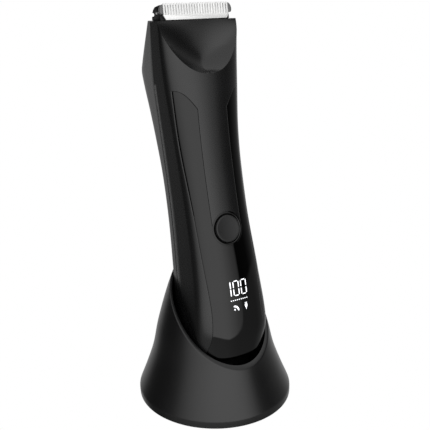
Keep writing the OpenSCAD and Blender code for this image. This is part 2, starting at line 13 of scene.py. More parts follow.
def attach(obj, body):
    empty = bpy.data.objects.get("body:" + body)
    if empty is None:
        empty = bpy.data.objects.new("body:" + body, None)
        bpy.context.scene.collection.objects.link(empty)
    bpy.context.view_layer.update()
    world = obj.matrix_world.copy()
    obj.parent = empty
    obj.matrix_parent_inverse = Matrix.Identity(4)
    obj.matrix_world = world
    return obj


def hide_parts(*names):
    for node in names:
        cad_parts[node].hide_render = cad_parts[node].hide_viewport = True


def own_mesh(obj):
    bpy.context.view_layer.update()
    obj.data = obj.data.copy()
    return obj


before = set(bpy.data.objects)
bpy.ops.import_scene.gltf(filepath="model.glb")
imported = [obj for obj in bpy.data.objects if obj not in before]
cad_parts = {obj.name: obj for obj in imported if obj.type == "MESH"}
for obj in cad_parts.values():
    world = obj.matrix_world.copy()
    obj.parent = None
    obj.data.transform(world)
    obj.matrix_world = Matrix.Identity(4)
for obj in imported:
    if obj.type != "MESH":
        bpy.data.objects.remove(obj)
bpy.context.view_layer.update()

MM = 0.001
LEAN = math.radians(11)
FOOT_Y, FOOT_Z = -6.8, 22.3
BODY_LEN = 147.5
RIM_W = 19.2
WALL, REAR_WALL = 2.0, 1.5
FOOT_ROUND = 3.0
FOOT_STEPS = (0, 0.015, 0.05, 0.1, 0.18, 0.28, 0.4, 0.55, 0.7, 0.85, 1)
RECESS, PANEL_SINK, PANEL_DEPTH = 0.9, 0.03, 0.85
SPINE_W = 7.1
BUTTON_S, BUTTON_R = 58.4, 5.9
RING_R, RING_HOLE, RING_T, RING_GAP = 7.45, 6.25, 1.8, 0.03
FRONT_POWER, BACK_POWER, BACK_TAPER = 2.25, 9.0, 0.17
SEAM, SEAM_BREAK = 0.08, 0.1
HUMP_S, HUMP, RIM_BACK, HUMP_FILLET = 128.0, 23.6, 3.4, 1.8
RIM_TILT, TILT_S, TILT_Y = 0.16, 120, -4.5
SCOOP_APEX, SCOOP_APEX_Y, SCOOP_RIM_Y = 124.9, -13.2, -7.4
SCOOP_DISH, SCOOP_POWER, SCOOP_POWER_LOW, SCOOP_WALL = 3.9, 2.2, 1.0, 0.2
SCOOP_SWELL, SCOOP_BLEND, WALL_POWER, SCOOP_END = 3, 0.5, 10, 0.4
LEG_TOP_IN, LEG_TOP_RISE = 110.0, 8.4
DOCK_WALL, DOCK_SHIFT, DOCK_FOOT = 1.4, 0.06, 0.15
LIP_Z, LIP_SLOPE = 45.2, 0.86
SOCKET_Z = 7.6

HALF_WIDTH = [(0, 15.2), (6, 16.85), (14, 17.9), (38, 16.3), (66, 15.2), (96, 15.9), (126, 18.1),
              (147.5, 19.2)]
FRONT_DEPTH = [(0, 16.6), (12, 18.1), (38, 17.5), (66, 14.5), (96, 12.8), (126, 13.3), (147.5, 13.6)]
ARC_DEPTH = [(0, 12), (6, 11.4), (14, 9.3), (38, 9), (66, 8.5), (96, 8.7), (126, 8.7), (147.5, 6.2)]
CREASE_Y = [(0, 3.9), (12, 4.3), (38, 5.4), (66, 6.3), (96, 6.3), (118, 4.6), (130, 2.6),
            (147.5, -1.8)]
BACK_DEPTH = [(0, 9.6), (12, 10.5), (38, 12.2), (66, 13.3), (84, 14.3), (98, 16.7), (112, 19.3),
              (128, 23.6)]
PANEL_EDGE = [(0, 14.5), (5, 15.1), (9, 14.35), (14, 13.3), (24, 12.7), (44, 13.3), (66, 13.6),
              (96, 15.2), (120, 16.4)]
DOCK_PROFILE = [(0, 35.15), (3.2, 35.2), (4.3, 34.9), (12, 31.7), (22, 28.1), (34, 25.3), (50, 20.4),
                (64, 15)]


# ---------------------------------------------------------------- shape functions

def lerp(a, b, f):
    return a + (b - a) * f


def clamp(v, lo=0.0, hi=1.0):
    return max(lo, min(hi, v))


def smooth(k, t):
    """A smooth curve through the stations of k, read at t, as the CAD has it."""
    i = 0
    while i < len(k) - 2 and t >= k[i + 1][0]:
        i += 1
    h = k[i + 1][0] - k[i][0]
    u = (t - k[i][0]) / h

    def slope(j):
        a, b = max(j - 1, 0), min(j + 1, len(k) - 1)
        return (k[b][1] - k[a][1]) / (k[b][0] - k[a][0])

    return ((2 * u**3 - 3 * u**2 + 1) * k[i][1] + (u**3 - 2 * u**2 + u) * h * slope(i)
            + (3 * u**2 - 2 * u**3) * k[i + 1][1] + (u**3 - u**2) * h * slope(i + 1))


def put(p):
    """A point of the groomer's frame in the row frame, in metres."""
    x, y, s = p
    return (x * MM, (FOOT_Y + y * math.cos(LEAN) + s * math.sin(LEAN)) * MM,
            (FOOT_Z - y * math.sin(LEAN) + s * math.cos(LEAN)) * MM)


def row(p):
    """A point of the row frame, from millimetres to metres."""
    return (p[0] * MM, p[1] * MM, p[2] * MM)


def tilted(p):
    """Leans the top of the head so that its rim rises towards the back."""
    f = clamp((p[2] - TILT_S) / (BODY_LEN - TILT_S))
    return (p[0], p[1], p[2] + RIM_TILT * (p[1] - TILT_Y) * f)


def foot_inset(s):
    if s >= FOOT_ROUND:
        return 0.0
    return FOOT_ROUND - math.sqrt(max(FOOT_ROUND**2 - (FOOT_ROUND - s)**2, 0.0))


def section(s):
    return smooth(HALF_WIDTH, s), smooth(FRONT_DEPTH, s), smooth(ARC_DEPTH, s)


def front_pt(a, s, d):
    """A point of the front at angle a (degrees) round the section, height s, inset by d."""
    w, f, c = section(s)
    sn, cs = math.sin(math.radians(a)), math.cos(math.radians(a))
    x = math.copysign((w - d) * abs(sn) ** (2 / FRONT_POWER), sn)
    return (x, c - f - (c - d) * max(cs, 0.0) ** (2 / FRONT_POWER), s)


def side_pt(k, g, s, d):
    w, f, c = section(s)
    return (k * (w - d), lerp(c - f, smooth(CREASE_Y, s), g), s)


def back_at(s):
    """Depth of the back at height s, with the hump's crest rounded off."""
    rise = smooth(BACK_DEPTH, HUMP_S - HUMP_FILLET)
    fall = lerp(HUMP, RIM_BACK, HUMP_FILLET / (BODY_LEN - HUMP_S))
    if abs(s - HUMP_S) < HUMP_FILLET:
        f = (s - HUMP_S + HUMP_FILLET) / (2 * HUMP_FILLET)
        return lerp(lerp(rise, HUMP, f), lerp(HUMP, fall, f), f)
    if s < HUMP_S:
        return smooth(BACK_DEPTH, s)
    return lerp(HUMP, RIM_BACK, (s - HUMP_S) / (BODY_LEN - HUMP_S))


def back_pt(a, s, d):
    w = smooth(HALF_WIDTH, s) - d
    c = smooth(CREASE_Y, s) + SEAM
    sn, cs = math.sin(math.radians(a)), math.cos(math.radians(a))
    y = (back_at(s) - c - d) * max(cs, 0.0) ** (2 / BACK_POWER)
    x = math.copysign((w - BACK_TAPER * y) * abs(sn) ** (2 / BACK_POWER), sn)
    return (x, c + y, s)


def edge_angle(x, s):
    return math.degrees(math.asin(clamp(x / smooth(HALF_WIDTH, s)) ** (FRONT_POWER / 2)))


def face_pt(x, s, d):
    """A point of the front at x across."""
    a = math.copysign(edge_angle(abs(x), s), x)
    return front_pt(a, s, d)


# ---------------------------------------------------------------- mesh helpers

def link(name, mesh):
    obj = bpy.data.objects.new(name, mesh)
    bpy.context.scene.collection.objects.link(obj)
    return obj


def mark(mesh, sharp):
    """Smooth shading, broken where two faces meet at more than sharp degrees."""
    bm = bmesh.new()
    bm.from_mesh(mesh)
    bmesh.ops.remove_doubles(bm, verts=bm.verts, dist=2e-7)
    bmesh.ops.dissolve_degenerate(bm, edges=bm.edges, dist=1e-8)
    bmesh.ops.recalc_face_normals(bm, faces=bm.faces)
    for f in bm.faces:
        f.smooth = True
    limit = math.radians(sharp)
    for e in bm.edges:
        e.smooth = len(e.link_faces) == 2 and e.calc_face_angle() < limit
    bm.to_mesh(mesh)
    bm.free()
    mesh.update()


def bake(obj):
    """Applies obj's modifiers to its mesh."""
    deps = bpy.context.evaluated_depsgraph_get()
    mesh = bpy.data.meshes.new_from_object(obj.evaluated_get(deps))
    old = obj.data
    obj.modifiers.clear()
    obj.data = mesh
    bpy.data.meshes.remove(old)


def cut(obj, tool):
    """Takes tool's volume out of obj, and removes tool."""
    m = obj.modifiers.new("cut", "BOOLEAN")
    m.operation, m.solver, m.object = "DIFFERENCE", "EXACT", tool
    bpy.context.view_layer.update()
    bake(obj)
    mesh = tool.data
    bpy.data.objects.remove(tool)
    bpy.data.meshes.remove(mesh)


def bevel(obj, width, segments=2, angle=32):
    m = obj.modifiers.new("bevel", "BEVEL")
    m.width, m.segments, m.limit_method = width * MM, segments, "ANGLE"
    m.angle_limit, m.use_clamp_overlap, m.harden_normals = math.radians(angle), True, False
    bpy.context.view_layer.update()
    bake(obj)


def settle(obj, body, material, nodes=(), sharp=40):
    """Shading, material, body and the CAD nodes that obj stands for."""
    mark(obj.data, sharp)
    obj.data.materials.clear()
    obj.data.materials.append(material)
    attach(obj, body)
    if nodes:
        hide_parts(*nodes)
    return obj


def sheet(outer, inner, on, place, ring=False):
    """Vertices and faces of a closed sheet between two grids of points [column][row]."""
    nc, nr = len(outer), len(outer[0])
    last = nc - 1 if ring else nc - 2
    half = nc * nr
    verts = [place(p) for c in outer for p in c] + [place(p) for c in inner for p in c]

    def node(i, j):
        return (i % nc) * nr + j

    def there(i, j):
        return 0 <= j < nr - 1 and (ring or 0 <= i <= last) and on(i % nc, j)

    faces = []
    for i in range(last + 1):
        for j in range(nr - 1):
            if not there(i, j):
                continue
            a, b, c, d = node(i, j), node(i + 1, j), node(i + 1, j + 1), node(i, j + 1)
            faces.append((a, b, c, d))
            faces.append((d + half, c + half, b + half, a + half))
            for (m, n), (p, q) in (((i - 1, j), (d, a)), ((i + 1, j), (b, c)),
                                   ((i, j - 1), (a, b)), ((i, j + 1), (c, d))):
                if not there(m, n):
                    faces.append((q, p, p + half, q + half))
    used = sorted({v for f in faces for v in f})
    index = {v: k for k, v in enumerate(used)}
    return [verts[v] for v in used], [tuple(index[v] for v in f) for f in faces]


def lathe(profile, n, matrix):
    """Vertices and faces of a solid of revolution; profile is [(radius, height)] round a closed loop."""
    verts, faces = [], []
    for k in range(n):
        u = 2 * math.pi * k / n
        for r, h in profile:
            verts.append(matrix @ Vector((r * math.cos(u), r * math.sin(u), h)))
    m = len(profile)
    for k in range(n):
        for i in range(m):
            a, b = k * m + i, k * m + (i + 1) % m
            c, d = ((k + 1) % n) * m + (i + 1) % m, ((k + 1) % n) * m + i
            faces.append((a, d, c, b))
    return verts, faces


def build(name, verts, faces):
    mesh = bpy.data.meshes.new(name)
    mesh.from_pydata([tuple(v) for v in verts], [], faces)
    mesh.validate()
    return link(name, mesh)


def prism(name, outline, lo, hi, place):
    """A straight prism over a closed outline of (u, v) points; place((u, v, w)) gives metres."""
    n = len(outline)
    verts = [place((u, v, lo)) for u, v in outline] + [place((u, v, hi)) for u, v in outline]
    faces = [tuple(range(n)), tuple(range(2 * n - 1, n - 1, -1))]
    faces += [(i, i + n, (i + 1) % n + n, (i + 1) % n) for i in range(n)]
    return build(name, verts, faces)


# ---------------------------------------------------------------- materials

NOISE_SPAN = (0.3, 0.7)


def surface(name, low, high, rough, grain=2600, bump=0.08, metallic=0.0, ior=1.5, drift=60,
            stretch=(1, 1, 1), emit=None, depth=0.00002):
    """A procedural surface. Its colour drifts from low to high, and its roughness through the pair rough;
    bump raises a fine grain, which stretch draws out."""
    mat = bpy.data.materials.new(name)
    mat.use_nodes = True
    nt = mat.node_tree
    shader = nt.nodes["Principled BSDF"]
    coord = nt.nodes.new("ShaderNodeTexCoord")
    mapping = nt.nodes.new("ShaderNodeMapping")
    mapping.inputs["Scale"].default_value = stretch
    nt.links.new(coord.outputs["Object"], mapping.inputs["Vector"])

    def noise(scale, detail):
        n = nt.nodes.new("ShaderNodeTexNoise")
        n.inputs["Scale"].default_value = scale
        n.inputs["Detail"].default_value = detail
        nt.links.new(mapping.outputs["Vector"], n.inputs["Vector"])
        return n.outputs["Fac"]

    ramp = nt.nodes.new("ShaderNodeValToRGB")
    for element, position, colour in zip(ramp.color_ramp.elements, NOISE_SPAN, (low, high)):
        element.position, element.color = position, (*colour, 1)
    nt.links.new(noise(drift, 3), ramp.inputs["Fac"])
    nt.links.new(ramp.outputs["Color"], shader.inputs["Base Color"])
    level = nt.nodes.new("ShaderNodeMapRange")
    level.inputs["From Min"].default_value, level.inputs["From Max"].default_value = NOISE_SPAN
    level.inputs["To Min"].default_value, level.inputs["To Max"].default_value = rough
    fine = noise(grain, 2)
    nt.links.new(fine, level.inputs["Value"])
    nt.links.new(level.outputs["Result"], shader.inputs["Roughness"])
    if bump:
        lift = nt.nodes.new("ShaderNodeBump")
        lift.inputs["Strength"].default_value = bump
        lift.inputs["Distance"].default_value = depth
        nt.links.new(fine, lift.inputs["Height"])
        nt.links.new(lift.outputs["Normal"], shader.inputs["Normal"])
    shader.inputs["Metallic"].default_value = metallic
    shader.inputs["IOR"].default_value = ior
    if emit:
        shader.inputs["Emission Color"].default_value = (*emit[0], 1)
        shader.inputs["Emission Strength"].default_value = emit[1]
    return mat


def grey(v, tint=1.0):
    return (v, v, v * tint)


SATIN = surface("satin_black", grey(0.0042, 1.04), grey(0.0062, 1.04), (0.26, 0.29), bump=0.05, ior=1.58)
DOCK_SATIN = surface("dock_satin_black", grey(0.0042, 1.04), grey(0.0062, 1.04), (0.28, 0.31), bump=0.06,
                     ior=1.58)
GLOSS = surface("gloss_black", grey(0.0003), grey(0.0007), (0.025, 0.04), bump=0.0, ior=1.51, drift=30)
INNER = surface("moulded_black", grey(0.006), grey(0.010), (0.45, 0.55), bump=0.15, ior=1.45)
BRACKET = surface("bracket_black", grey(0.003), grey(0.005), (0.42, 0.5), bump=0.1, ior=1.4)
# The seat cup's black is darkened and its reflection kept low: painted shade, so the gap between the
# groomer and the dock reads black.
SEAT = surface("seat_black_painted_shade", grey(0.0015), grey(0.003), (0.6, 0.7), bump=0.2, ior=1.2)
BUTTON = surface("button_black", grey(0.010, 1.03), grey(0.013, 1.03), (0.42, 0.48), bump=0.06, ior=1.5)
LIGHT = surface("display_light", (0.8, 0.82, 0.85), (0.9, 0.91, 0.93), (0.35, 0.4), bump=0.0,
                emit=((0.95, 0.97, 1.0), 1.1))
MODULE = surface("display_module_grey", grey(0.02), grey(0.03), (0.4, 0.5))
CHASSIS = surface("chassis_grey", grey(0.05), grey(0.07), (0.45, 0.6), grain=1800, bump=0.2)
NYLON = surface("nylon", (0.55, 0.53, 0.47), (0.62, 0.6, 0.54), (0.35, 0.45), grain=1500, bump=0.1)
PCB = surface("board_green", (0.01, 0.09, 0.04), (0.02, 0.14, 0.06), (0.25, 0.4), grain=900, bump=0.15,
              drift=400)
CELL = surface("cell_wrap", (0.02, 0.12, 0.36), (0.03, 0.15, 0.42), (0.2, 0.3), grain=700, drift=90)
# The blade and cutter steels glow through their emission: painted light that brightens the plates as a
# lamp close to them would.
BLADE = surface("blade_steel", grey(0.88, 0.99), grey(0.95, 0.99), (0.42, 0.52), grain=900, bump=0.08,
                metallic=0.55, stretch=(12, 1, 1), drift=200, emit=(grey(1.0), 0.18))
CUTTER = surface("cutter_steel_painted_glow", grey(0.6, 0.99), grey(0.7, 0.99), (0.42, 0.52), grain=900, bump=0.08,
                 metallic=0.55, stretch=(12, 1, 1), drift=200, emit=(grey(1.0), 0.1))
GUARD = surface("guard_grey", grey(0.15), grey(0.19), (0.35, 0.42), bump=0.08)
STEEL = surface("bright_steel", grey(0.5), grey(0.6), (0.2, 0.34), grain=1400, bump=0.1, metallic=1.0,
                stretch=(1, 1, 8))
IRON = surface("cast_weight", grey(0.12), grey(0.2), (0.55, 0.7), grain=1100, bump=0.5, metallic=0.7,
               drift=300, depth=0.00008)
GOLD = surface("gold_plate", (0.72, 0.48, 0.16), (0.82, 0.58, 0.24), (0.15, 0.25), grain=1500,
               metallic=1.0, bump=0.04)
RUBBER = surface("rubber_black", grey(0.012), grey(0.018), (0.7, 0.85), grain=1300, bump=0.5, ior=1.45,
                 depth=0.00006)
SEAL = surface("seal_red", (0.22, 0.02, 0.015), (0.3, 0.03, 0.02), (0.45, 0.6), grain=1300, bump=0.2)


# ---------------------------------------------------------------- front cover and glossy panel

# Columns: (side, kind, value). Kinds: spine and arc by fraction, in and out by offset in mm from the
# panel's inner and outer edge, leg by fraction, flat by fraction.
IN_STEPS = (-0.35, -0.18, -0.06, 0.0, 0.05, 0.1, 0.16, 0.28, 0.5)
OUT_STEPS = (-0.75, -0.5, -0.38, -0.3, -0.05, 0.0, 0.06, 0.18, 0.35)
ROW_STEPS = (0.4, 0.28, 0.16, 0.1, 0.05, 0.0, -0.06, -0.18, -0.35)
SPINE_N, LEG_N, ARC_N, FLAT_N = 14, 16, 22, 4
EDGE_GAP_IN, EDGE_GAP_OUT = 0.03, 0.28
GAP_LEAST, GAP_FROM_S, GAP_RISE_S = 0.2, 52, 25
SPINE_MARGIN, LEG_IN, LEG_OUT, ARC_IN = 0.4, 0.55, 0.8, 0.4
LEG_SPAN, LEG_TOP_S = 8, 115
ROW_END, ROW_START = 0.5, 0.45


def half_columns():
    cols = [("spine", math.sin(math.pi / 2 * i / SPINE_N)) for i in range(1, SPINE_N + 1)]
    cols += [("in", o) for o in IN_STEPS] + [("leg", i / LEG_N) for i in range(1, LEG_N)]
    cols += [("out", o) for o in OUT_STEPS] + [("arc", i / ARC_N) for i in range(1, ARC_N + 1)]
    return cols + [("flat", i / FLAT_N) for i in range(1, FLAT_N)] + [("flat", 0.985), ("flat", 1.0)]


COLUMNS = ([(-1, *c) for c in reversed(half_columns())] + [(1, "spine", 0.0)]
           + [(1, *c) for c in half_columns()])


def column_x(c, s):
    """How far out a column lies at height s; not used for the flat side."""
    edge = smooth(PANEL_EDGE, s)
    kind, v = c[1], c[2]
    if kind == "spine":
        return v * (SPINE_W - SPINE_MARGIN)
    if kind == "in":
        return SPINE_W + v
    if kind == "leg":
        return lerp(SPINE_W + LEG_IN, edge - LEG_OUT, v)
    return edge + v


def column_angle(c, s):
    if c[1] == "arc":
        return lerp(edge_angle(smooth(PANEL_EDGE, s) + ARC_IN, s), 90, c[2])
    if c[1] == "flat":
        return 90.0
    return edge_angle(column_x(c, s), s)


def crotch_at(c):
    x = min(column_x(c, BUTTON_S), SPINE_W) if c[1] in ("spine", "in") else SPINE_W
    return BUTTON_S - math.sqrt(max(SPINE_W**2 - x**2, 0.0))


def leg_top_at(x, s):
    f = clamp((x - SPINE_W) / (smooth(PANEL_EDGE, s) - SPINE_W))
    return LEG_TOP_IN + LEG_TOP_RISE * math.sin(math.pi / 2 * f)


def leg_top(c):
    if c[1] in ("arc", "flat"):
        return LEG_TOP_IN + LEG_TOP_RISE
    return leg_top_at(column_x(c, LEG_TOP_S), LEG_TOP_S)


def inside_panel(x, s, gap_in=0.0, gap_out=0.0):
    """How far a point of the front lies inside the panel's outline, about in millimetres."""
    x = abs(x)
    spine = math.hypot(x, s - BUTTON_S) - SPINE_W if s < BUTTON_S else x - SPINE_W
    across = clamp((x - SPINE_W) / LEG_SPAN)
    slope = LEG_TOP_RISE * math.pi / 2 / LEG_SPAN * math.cos(math.pi / 2 * across)
    top = (leg_top_at(x, s) - s) / math.hypot(1, slope)
    gap_out *= lerp(GAP_LEAST, 1.0, clamp((s - GAP_FROM_S) / GAP_RISE_S))
    return min(smooth(PANEL_EDGE, s) - x - gap_out, spine - gap_in, top - gap_in)


def scoop_plane(s):
    return lerp(SCOOP_APEX_Y, SCOOP_RIM_Y, (s - SCOOP_APEX) / (BODY_LEN - SCOOP_APEX))


def skin_pt(c, s, d):
    e = d + foot_inset(s)
    if c[1] == "flat":
        return side_pt(c[0], c[2], s, e)
    return front_pt(c[0] * column_angle(c, s), s, e)


def scoop_start(c):
    if c[1] == "flat":
        return BODY_LEN - SCOOP_END
    lo, hi = SCOOP_APEX - 1, BODY_LEN - SCOOP_END
    for _ in range(22):
        m = (lo + hi) / 2
        if skin_pt(c, m, 0)[1] > scoop_plane(m):
            lo = m
        else:
            hi = m
    return (lo + hi) / 2


def scoop_half_width(s):
    w, f, c = section(s)
    q = clamp((c - f - scoop_plane(s)) / c)
    return w * max(1 - q ** FRONT_POWER, 0.0001) ** (1 / FRONT_POWER)


def scoop_mid(s):
    t = (s - SCOOP_APEX) / (BODY_LEN - SCOOP_APEX)
    return scoop_plane(s) + SCOOP_SWELL * SCOOP_DISH * math.sqrt(max(t, 0.0)) * (1 - t)


def scoop_pt(c, t, d):
    b = skin_pt(c, scoop_start(c), 0)
    s = lerp(b[2], BODY_LEN, t)
    if c[1] == "flat":
        return (b[0] * (1 - d / RIM_W), b[1], s)
    x = lerp(b[0], RIM_W * c[0] * math.sin(math.radians(column_angle(c, BODY_LEN))), t)
    t = clamp((s - SCOOP_APEX) / (BODY_LEN - SCOOP_APEX))
    u = min(1.0, abs(x) / scoop_half_width(s))
    cross = u ** lerp(SCOOP_POWER_LOW, SCOOP_POWER, clamp(t / SCOOP_BLEND))
    wall = SCOOP_WALL * math.sin(math.pi * math.sqrt(t)) * (1 - u ** WALL_POWER)
    return (x * (1 - d / RIM_W), lerp(scoop_mid(s), scoop_plane(s), cross) + wall + d, s)


BELOW_N, LEGS_N, HEAD_N, SCOOP_N = 26, 62, 16, 30
ROWS = ([("foot", f) for f in FOOT_STEPS]
        + [("below", i / BELOW_N) for i in range(1, BELOW_N + 1)]
        + [("crotch", -o) for o in ROW_STEPS] + [("legs", i / LEGS_N) for i in range(LEGS_N + 1)]
        + [("top", -o) for o in ROW_STEPS] + [("head", i / HEAD_N) for i in range(HEAD_N + 1)]
        + [("edge", o) for o in (-0.28, -0.14)]
        + [("scoop", (i / SCOOP_N) ** 1.3) for i in range(SCOOP_N + 1)])


def row_height(c, r):
    kind, v = r
    crotch, top = crotch_at(c), leg_top(c)
    if kind == "foot":
        return v * FOOT_ROUND
    if kind == "below":
        return lerp(FOOT_ROUND, crotch - ROW_END, v)
    if kind == "crotch":
        return crotch + v
    if kind == "legs":
        return lerp(crotch + ROW_START, top - ROW_END, v)
    if kind == "top":
        return top + v
    if kind == "head":
        return lerp(top + ROW_START, scoop_start(c) - ROW_START, v)
    return scoop_start(c) + v


# Depths below the front's surface, against millimetres inside an outline: the cover's rebate for the
# panel, and the panel's own rounded border.
REBATE = ((-0.18, 0.0), (-0.06, 0.04), (0.0, 0.16), (0.05, RECESS))
CROWN = ((0.0, 0.1), (0.05, 0.05), (0.14, PANEL_SINK))


def step_depth(steps, q):
    """Depth at q on straight lines between steps, and level beyond both ends."""
    if q <= steps[0][0]:
        return steps[0][1]
    for (q0, d0), (q1, d1) in zip(steps, steps[1:]):
        if q < q1:
            return lerp(d0, d1, (q - q0) / (q1 - q0))
    return steps[-1][1]


def cover_pt(c, r, depth):
    """A point of the front cover; depth is a function of (x, s)."""
    if r[0] == "scoop":
        return tilted(scoop_pt(c, r[1], depth(0, BODY_LEN)))
    s = row_height(c, r)
    d = 0.0 if c[1] in ("arc", "flat") and depth is not inner_depth else depth(column_x(c, s), s)
    if c[1] == "flat" and c[2] == 1.0:
        d += SEAM_BREAK
    return tilted(skin_pt(c, s, d))


def outer_depth(x, s):
    return step_depth(REBATE, inside_panel(x, s)) if s < LEG_TOP_IN + LEG_TOP_RISE + 1 else 0.0


def inner_depth(x, s):
    return WALL


def panel_depth(x, s):
    return step_depth(CROWN, inside_panel(x, s, EDGE_GAP_IN, EDGE_GAP_OUT))


def panel_back(x, s):
    return PANEL_DEPTH


BUTTON_TILT = math.atan((smooth(FRONT_DEPTH, BUTTON_S - 6) - smooth(FRONT_DEPTH, BUTTON_S + 6)) / 12)


def button_matrix():
    """The button's frame, +Z out of the front face, in metres."""
    y = -smooth(FRONT_DEPTH, BUTTON_S)
    turn = Matrix.Rotation(math.pi / 2 - BUTTON_TILT - LEAN, 4, "X")
    return Matrix.Translation(put((0, y, BUTTON_S))) @ turn @ Matrix.Scale(MM, 4)


AT_BUTTON = button_matrix()


def drill(radius, lo=-6, hi=6):
    return build("drill", *lathe([(radius, lo), (radius, hi), (0.0001, hi), (0.0001, lo)], 128, AT_BUTTON))


def box_tool(lo, hi):
    verts = [put((x, y, s)) for x in (lo[0], hi[0]) for y in (lo[1], hi[1]) for s in (lo[2], hi[2])]
    faces = [(0, 1, 3, 2), (4, 6, 7, 5), (0, 4, 5, 1), (2, 3, 7, 6), (0, 2, 6, 4), (1, 5, 7, 3)]
    return build("box_tool", verts, faces)


DISPLAY_SLOT = ((-6.5, -20, 20.5), (6.5, -14, 38.5))
CUT_SHARP, COVER_SHARP = 40, 38


def make_front_cover():
    outer = [[cover_pt(c, r, outer_depth) for r in ROWS] for c in COLUMNS]
    inner = [[cover_pt(c, r, inner_depth) for r in ROWS] for c in COLUMNS]
    obj = build("front_shell", *sheet(outer, inner, lambda i, j: True, put))
    mark(obj.data, CUT_SHARP)
    cut(obj, drill(RING_R + RING_GAP))
    cut(obj, box_tool(*DISPLAY_SLOT))
    return settle(obj, "groomer", SATIN, ["front_cover"], sharp=COVER_SHARP)


def make_panel():
    cols = [c for c in COLUMNS if c[1] not in ("arc", "flat")]
    rows = [r for r in ROWS if r[0] in ("foot", "below", "crotch", "legs", "top")]
    outer = [[cover_pt(c, r, panel_depth) for r in rows] for c in cols]
    inner = [[cover_pt(c, r, panel_back) for r in rows] for c in cols]

    def on(i, j):
        x = s = 0.0
        for c in cols[i:i + 2]:
            for r in rows[j:j + 2]:
                h = row_height(c, r)
                x += c[0] * column_x(c, h) / 4
                s += h / 4
        return inside_panel(x, s, EDGE_GAP_IN, EDGE_GAP_OUT) > 0.0

    obj = build("glossy_panel", *sheet(outer, inner, on, put))
    mark(obj.data, CUT_SHARP)
    cut(obj, drill(RING_R + RING_GAP))
    return settle(obj, "groomer", GLOSS, ["front_panel"], sharp=COVER_SHARP)


# ---------------------------------------------------------------- rear cover

SPREAD_N, SPREAD_DEPTH, EASE = 4000, 0.8, 4
BACK_N, REAR_N, CREST_N, RIM_N = 72, 64, 5, 12
LIP_LEN, LIP_LEAN = 0.2, 0.6


def spread_angles(n):
    """Angles round the back that space its points evenly, from one crease to the other."""
    def at(a):
        sn, cs = math.sin(math.radians(a)), math.cos(math.radians(a))
        return (math.copysign(abs(sn) ** (2 / BACK_POWER), sn),
                SPREAD_DEPTH * max(cs, 0.0) ** (2 / BACK_POWER))

    def eased(t):
        if t > 0.5:
            return 1 - (1 - t) ** EASE
        return (2 * t) ** EASE * (1 - 0.5 ** EASE)

    fine, run = [], [0.0]
    for i in range(SPREAD_N + 1):
        t = -1 + 2 * i / SPREAD_N
        fine.append(90 * math.copysign(eased(abs(t)), t))
    for a, b in zip(fine, fine[1:]):
        run.append(run[-1] + math.dist(at(a), at(b)))
    out, k = [], 0
    for i in range(n + 1):
        goal = run[-1] * i / n
        while k < len(run) - 1 and run[k] < goal:
            k += 1
        out.append(fine[k])
    return out


def make_rear_cover():
    angles = list(reversed(spread_angles(BACK_N)))
    heights = [f * FOOT_ROUND for f in FOOT_STEPS]
    heights += [lerp(FOOT_ROUND, HUMP_S - HUMP_FILLET, i / REAR_N) for i in range(1, REAR_N + 1)]
    heights += [HUMP_S + HUMP_FILLET * (i / CREST_N) for i in range(1 - CREST_N, CREST_N + 1)]
    heights += [lerp(HUMP_S + HUMP_FILLET, BODY_LEN - LIP_LEN, i / RIM_N) for i in range(1, RIM_N + 1)]
    heights += [BODY_LEN - 0.06, BODY_LEN]

    def lip(s):
        return max(0.0, s - BODY_LEN + LIP_LEN) * LIP_LEAN

    def edge(k):
        return SEAM_BREAK if k in (0, len(angles) - 1) else 0.0

    outer = [[tilted(back_pt(a, s, foot_inset(s) + lip(s) + edge(k))) for s in heights]
             for k, a in enumerate(angles)]
    inner = [[tilted(back_pt(a, s, foot_inset(s) + REAR_WALL)) for s in heights] for a in angles]
    obj = build("rear_shell", *sheet(outer, inner, lambda i, j: True, put))
    return settle(obj, "groomer", SATIN, ["rear_cover"], sharp=COVER_SHARP)


# ---------------------------------------------------------------- button and display

CAP_UNDER, STEM_R, STEM_UNDER, AXIS_R = -1.45, 1.6, -2.4, 0.001
DISH_EDGE, DISH_RISE, DISH_R = -0.15, 0.36, 5.2
ROUND_N = 128


def make_button():
    cap = [(AXIS_R, CAP_UNDER), (AXIS_R, DISH_EDGE)]
    cap += [(r, DISH_EDGE + DISH_RISE * (r / DISH_R) ** 2) for r in (0.8, 1.6, 2.4, 3.2, 4.0, 4.6, 5.1)]
    cap += [(5.4, 0.22), (5.6, 0.18), (5.76, 0.08), (5.86, -0.06), (BUTTON_R, -0.22),
            (BUTTON_R, CAP_UNDER)]
    cap += [(STEM_R, CAP_UNDER), (STEM_R, STEM_UNDER), (AXIS_R, STEM_UNDER)]
    obj = build("button_cap", *lathe(cap, 96, AT_BUTTON))
    settle(obj, "button", BUTTON, ["power_button"], sharp=50)
    make_ring()


RING_STEPS = ((RING_HOLE, 1.0), (RING_HOLE, 0.5), (6.3, 0.3), (6.42, 0.16), (6.6, 0.06), (6.8, 0.015),
              (7.05, 0.0), (RING_R - 0.04, 0.0), (RING_R, 0.05))


def face_over(x, v):
    """Height of the panel's face in the button's frame, at x across and v up."""
    s = BUTTON_S + v
    y = front_pt(edge_angle(abs(x), s), s, PANEL_SINK)[1] + smooth(FRONT_DEPTH, BUTTON_S)
    return v * math.sin(BUTTON_TILT) - y * math.cos(BUTTON_TILT)


def make_ring():
    """The rounded surround of the button, lying flush in the panel's curve."""
    def at(u, r, drop):
        x, v = r * math.cos(u), r * math.sin(u)
        return tuple(AT_BUTTON @ Vector((x, v, face_over(x, v) - drop)))
    turns = [2 * math.pi * k / ROUND_N for k in range(ROUND_N)]
    outer = [[at(u, r, d) for r, d in RING_STEPS] for u in turns]
    inner = [[at(u, r, RING_T) for r, d in RING_STEPS] for u in turns]
    obj = build("button_bezel", *sheet(outer, inner, lambda i, j: True, tuple, ring=True))
    settle(obj, "groomer", GLOSS, ["button_ring"], sharp=50)


